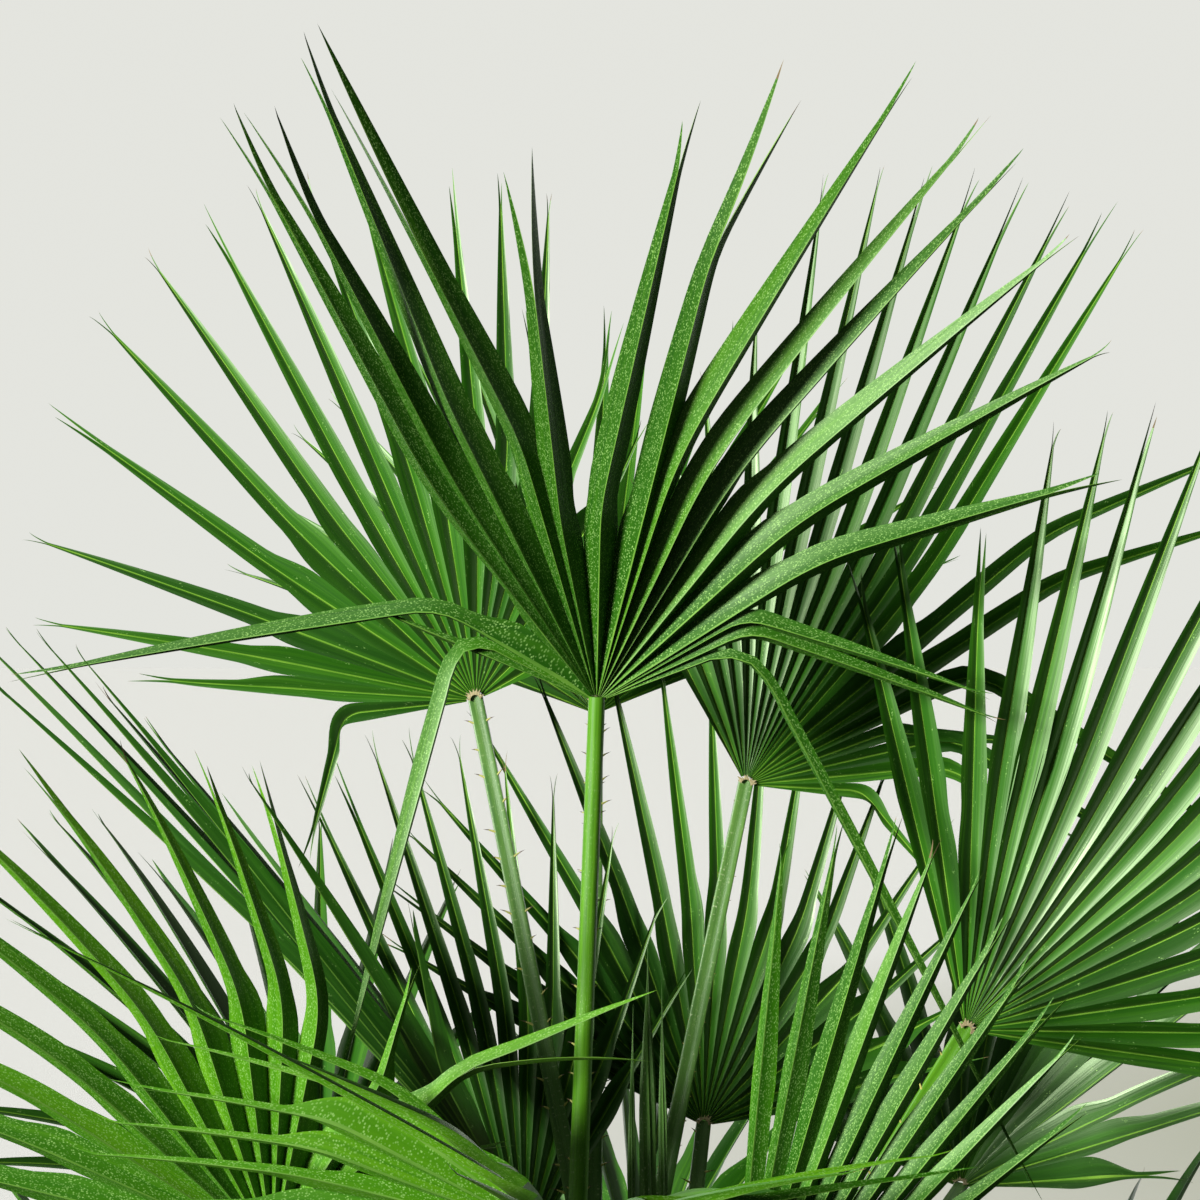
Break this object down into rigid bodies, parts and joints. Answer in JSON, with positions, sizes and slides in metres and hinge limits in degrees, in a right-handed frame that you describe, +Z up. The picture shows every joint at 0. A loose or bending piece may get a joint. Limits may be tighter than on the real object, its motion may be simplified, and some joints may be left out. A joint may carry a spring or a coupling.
{
  "type": "potted european fan palm",
  "caption": "European fan palm with pleated fan leaves on spiny stalks, rising from short fibrous stems in a plain round pot.",
  "frame": {"origin": "the middle of the pot's flat underside, which stands on the floor", "axes": "+Z up; -Y towards the viewer of the picture; +X to the picture's right; metres"},
  "size_m": [1.2872, 1.2436, 1.2864],
  "materials": {
    "pot_glaze": "matt warm grey glaze",
    "soil_brown": "moist dark potting soil",
    "stem_fibre": "matt brown fibre and leaf bases",
    "stalk_green": "satin green with pale spines",
    "leaf_green": "glossy above, pale flecks below"
  },
  "bodies": {
    "root": {"pot": "pot_glaze", "soil": "soil_brown", "main_stem": "stem_fibre", "left_stem": "stem_fibre", "right_stem": "stem_fibre", "stalk_01": "stalk_green", "stalk_02": "stalk_green", "stalk_03": "stalk_green", "stalk_04": "stalk_green", "stalk_05": "stalk_green", "stalk_06": "stalk_green", "stalk_07": "stalk_green", "stalk_08": "stalk_green", "stalk_09": "stalk_green", "stalk_10": "stalk_green", "stalk_11": "stalk_green", "stalk_12": "stalk_green", "stalk_13": "stalk_green", "stalk_14": "stalk_green", "stalk_15": "stalk_green", "stalk_16": "stalk_green", "stalk_17": "stalk_green", "stalk_18": "stalk_green", "fan_01": "leaf_green", "fan_02": "leaf_green", "fan_03": "leaf_green", "fan_04": "leaf_green", "fan_05": "leaf_green", "fan_06": "leaf_green", "fan_07": "leaf_green", "fan_08": "leaf_green", "fan_09": "leaf_green", "fan_10": "leaf_green", "fan_11": "leaf_green", "fan_12": "leaf_green", "fan_13": "leaf_green", "fan_14": "leaf_green", "fan_15": "leaf_green", "fan_16": "leaf_green", "fan_17": "leaf_green", "fan_18": "leaf_green", "spear_leaf": "leaf_green"}
  },
  "joints": []
}
